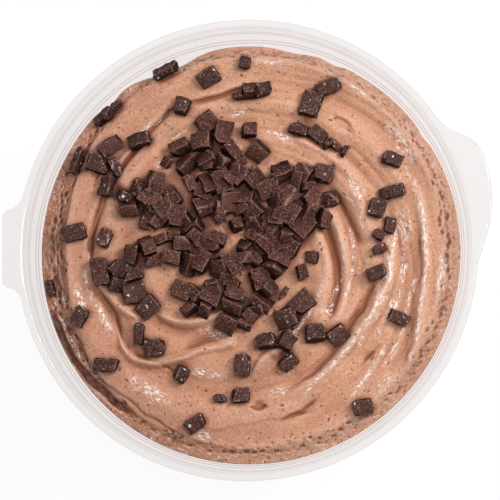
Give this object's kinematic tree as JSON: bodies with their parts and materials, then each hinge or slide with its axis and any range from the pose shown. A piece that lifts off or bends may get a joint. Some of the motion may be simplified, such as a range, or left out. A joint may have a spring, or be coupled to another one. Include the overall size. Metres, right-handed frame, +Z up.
{
  "type": "cup of chocolate mousse",
  "caption": "Chocolate mousse with a swirled top and a heap of dark chocolate chunks, filling a clear plastic cup with a flat flange and two tabs.",
  "frame": {"origin": "on the cup's axis, at the plane of its foot ring, which is the middle of the bottom of the bounding box", "axes": "+Z up out of the cup's mouth, +X towards the rounded tab, -X towards the square tab"},
  "size_m": [0.1008, 0.095, 0.052],
  "materials": {
    "clear_plastic": "clear, glossy, thin",
    "mousse": "soft, milky brown, slightly wet on the ridges",
    "dark_chocolate": "dark brown, finely grained, with lighter worn edges"
  },
  "bodies": {
    "root": {"cup": "clear_plastic", "mousse": "mousse"}
  },
  "joints": []
}
